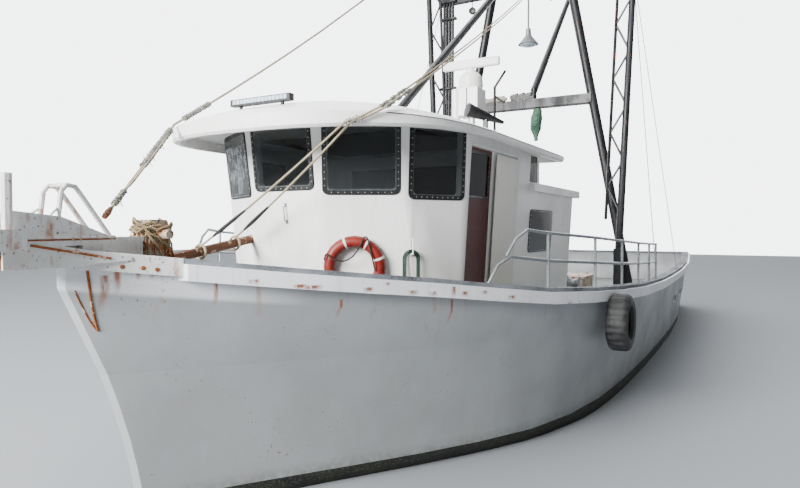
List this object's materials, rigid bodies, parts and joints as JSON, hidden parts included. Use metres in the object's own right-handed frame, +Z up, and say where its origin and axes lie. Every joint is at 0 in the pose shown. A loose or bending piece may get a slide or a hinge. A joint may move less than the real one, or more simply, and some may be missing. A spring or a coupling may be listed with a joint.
{
  "type": "fishing trawler",
  "caption": "Decked steel fishing trawler with a faceted wheelhouse forward, a domed roof, an A-frame mast with boom and outriggers, a deck winch and a bow roller platform.",
  "frame": {"origin": "on the waterline amidships, on the centre plane", "axes": "+X towards the bow, +Y to port, +Z up"},
  "size_m": [22.8, 7.1329, 15.5],
  "materials": {
    "hull_white": "worn white hull paint",
    "bottom_black": "black bottom paint",
    "house_white": "gloss white house paint",
    "weathered_wood": "bare weathered wood",
    "deck_grey": "matt grey deck paint",
    "rig_black": "black rig paint, chipped",
    "galvanised": "dull zinc",
    "rusty_white": "white paint with rust",
    "door_maroon": "dull maroon paint",
    "pane_black": "dark tinted glass",
    "ring_orange": "orange moulded shell",
    "tyre_black": "matt black rubber",
    "hose_green": "green garden hose, dull",
    "bronze": "cast bronze",
    "wire": "stranded wire"
  },
  "bodies": {
    "hull": {"hull_topsides": "hull_white", "hull_bottom": "bottom_black", "keel": "bottom_black", "bulwark": "hull_white", "guard_rail": "hull_white", "cap_rail": "weathered_wood", "stem_plate": "hull_white", "foredeck": "deck_grey", "working_deck": "deck_grey", "wheelhouse_walls": "house_white", "wheelhouse_roof": "house_white", "window_port_quarter": "pane_black", "window_port_bow": "pane_black", "window_front": "pane_black", "window_starboard_bow": "pane_black", "window_starboard_quarter": "pane_black", "deckhouse_walls": "house_white", "deckhouse_roof": "house_white", "upper_cabin": "house_white", "window_deckhouse_port": "pane_black", "window_deckhouse_starboard": "pane_black", "exhaust_stack": "rig_black", "light_bar": "rig_black", "radar_post": "house_white", "horn": "rig_black", "mast": "rig_black", "outrigger_step_port": "rig_black", "outrigger_step_starboard": "rig_black", "floodlight": "galvanised", "forestay": "wire", "bow_platform": "hull_white", "bow_rollers": "galvanised", "pulpit_rail_port": "hull_white", "pulpit_rail_starboard": "hull_white", "windlass_frame": "rusty_white", "windlass_brace": "rusty_white", "winch_frame": "rig_black", "hatch_coaming": "hull_white", "side_rail_port": "galvanised", "side_rail_starboard": "galvanised", "life_ring": "ring_orange", "tyre_fender": "tyre_black", "hose": "hose_green"},
    "door_port": {"door_port": "door_maroon"},
    "door_starboard": {"door_starboard": "door_maroon"},
    "aft_door": {"aft_door": "door_maroon"},
    "hatch_lid": {"hatch_lid": "hull_white"},
    "boom": {"boom": "rig_black"},
    "outrigger_port": {"outrigger_port": "rig_black"},
    "outrigger_starboard": {"outrigger_starboard": "rig_black"},
    "radar_scanner": {"radar_scanner": "house_white"},
    "windlass_drum": {"windlass_drum": "rusty_white"},
    "winch_drum_port": {"winch_drum_port": "galvanised"},
    "winch_drum_starboard": {"winch_drum_starboard": "galvanised"},
    "rudder": {"rudder": "bottom_black"},
    "propeller": {"propeller": "bronze"}
  },
  "joints": [
    {"name": "door_port_slide", "type": "slide", "parent": "hull", "child": "door_port", "axis": [-1, 0, 0], "range_m": [0, 0.9]},
    {"name": "door_starboard_slide", "type": "slide", "parent": "hull", "child": "door_starboard", "axis": [-1, 0, 0], "range_m": [0, 0.9]},
    {"name": "aft_door_turn", "type": "hinge", "parent": "hull", "child": "aft_door", "pos_m": [1.486, 0.35, 2.47], "axis": [0, 0, -1], "range_deg": [0, 100]},
    {"name": "hatch_lid_turn", "type": "hinge", "parent": "hull", "child": "hatch_lid", "pos_m": [-4.13, 0, 1.3503], "axis": [0, 1, 0], "range_deg": [0, 100]},
    {"name": "boom_turn", "type": "hinge", "parent": "hull", "child": "boom", "pos_m": [-1.96, 0, 6.4], "axis": [0, 0, 1], "range_deg": [-40, 40]},
    {"name": "outrigger_port_turn", "type": "hinge", "parent": "hull", "child": "outrigger_port", "pos_m": [-1.05, 2.33, 2.25], "axis": [-1, 0, 0], "range_deg": [0, 75]},
    {"name": "outrigger_starboard_turn", "type": "hinge", "parent": "hull", "child": "outrigger_starboard", "pos_m": [-1.05, -2.33, 2.25], "axis": [1, 0, 0], "range_deg": [0, 75]},
    {"name": "radar_scanner_turn", "type": "hinge", "parent": "hull", "child": "radar_scanner", "pos_m": [4, 0.75, 5.6], "axis": [0, 0, 1], "continuous": true},
    {"name": "windlass_drum_turn", "type": "hinge", "parent": "hull", "child": "windlass_drum", "pos_m": [9.7, 0, 2.25], "axis": [0, 1, 0], "continuous": true},
    {"name": "winch_drum_port_turn", "type": "hinge", "parent": "hull", "child": "winch_drum_port", "pos_m": [-0.25, 0.65, 1.56], "axis": [0, 1, 0], "continuous": true},
    {"name": "winch_drum_starboard_turn", "type": "hinge", "parent": "hull", "child": "winch_drum_starboard", "pos_m": [-0.25, -0.65, 1.56], "axis": [0, 1, 0], "continuous": true},
    {"name": "rudder_turn", "type": "hinge", "parent": "hull", "child": "rudder", "pos_m": [-9.95, 0, -1.3], "axis": [0, 0, 1], "range_deg": [-35, 35]},
    {"name": "propeller_turn", "type": "hinge", "parent": "hull", "child": "propeller", "pos_m": [-9.25, 0, -1.45], "axis": [1, 0, 0], "continuous": true}
  ]
}
